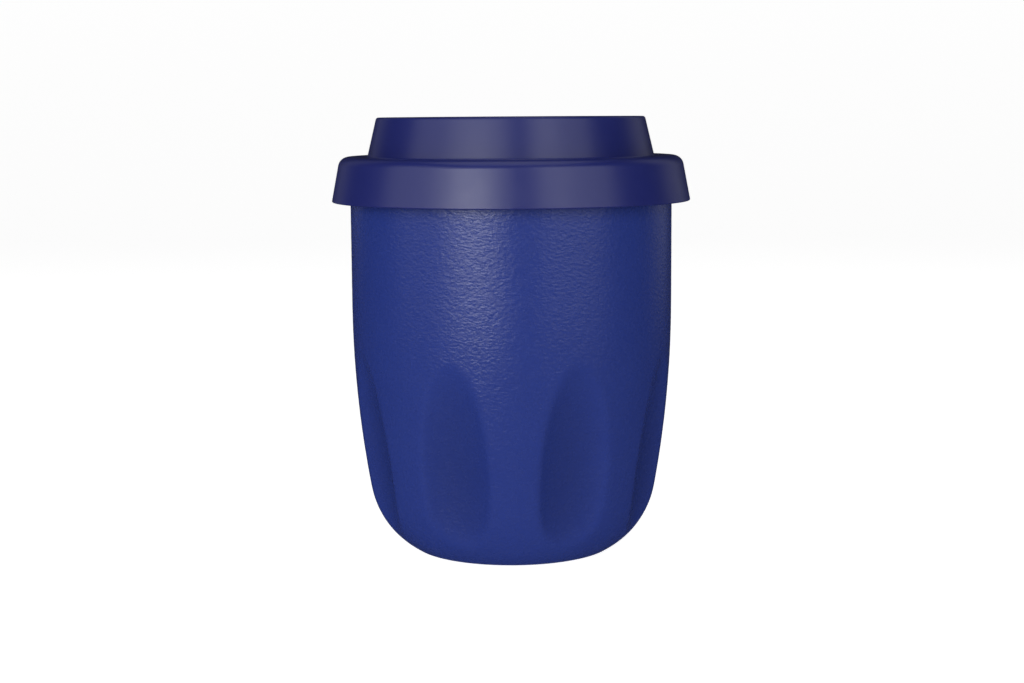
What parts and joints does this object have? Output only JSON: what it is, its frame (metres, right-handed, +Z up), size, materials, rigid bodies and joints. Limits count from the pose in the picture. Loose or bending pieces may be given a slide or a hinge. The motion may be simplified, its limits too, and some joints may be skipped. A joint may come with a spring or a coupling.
{
  "type": "lidded drinking tumbler",
  "caption": "Insulated double-wall drinking tumbler with rounded, finger-hollowed lower body and a stepped press-on lid with a sliding sip closure.",
  "frame": {"origin": "middle of the base pad's underside, on the cup's axis, where the cup stands", "axes": "+Z up the cup's axis towards the lid, -Y towards the drinking side with the sip opening, +X to the right when that side faces the viewer"},
  "size_m": [0.098, 0.098, 0.1188],
  "materials": {
    "body_coat": "satin coat with a fine orange-peel texture",
    "steel": "brushed stainless steel",
    "seal_glass": "solder glass bead",
    "base_silicone": "matt silicone rubber",
    "foil": "bright foil",
    "getter": "pressed metal powder",
    "lid_plastic": "smooth satin moulding",
    "lid_base_plastic": "fine matt moulding",
    "lid_silicone": "translucent silicone rubber",
    "magnet": "nickel-plated magnet",
    "slider_plastic": "smooth satin moulding"
  },
  "bodies": {
    "cup": {"outer_shell": "body_coat", "outer_bottom": "steel", "vacuum_seal": "seal_glass", "base_cover": "steel", "base_pad": "base_silicone", "inner_liner": "steel", "liner_bottom": "steel", "heat_reflector": "foil", "getter_holder": "steel", "getter_tablet": "getter"},
    "lid": {"lid_cap": "lid_plastic", "lid_base": "lid_base_plastic", "lid_gasket": "lid_silicone", "deck_magnets": "magnet"},
    "slider": {"slider_top": "slider_plastic", "slider_base": "slider_plastic", "slider_seal": "lid_silicone", "slider_magnets": "magnet"}
  },
  "joints": [
    {"name": "lid_lift", "type": "slide", "parent": "cup", "child": "lid", "axis": [0, 0, 1], "range_m": [0, 0.045]},
    {"name": "slider_slide", "type": "slide", "parent": "lid", "child": "slider", "axis": [0, 1, 0], "range_m": [0, 0.013]}
  ]
}
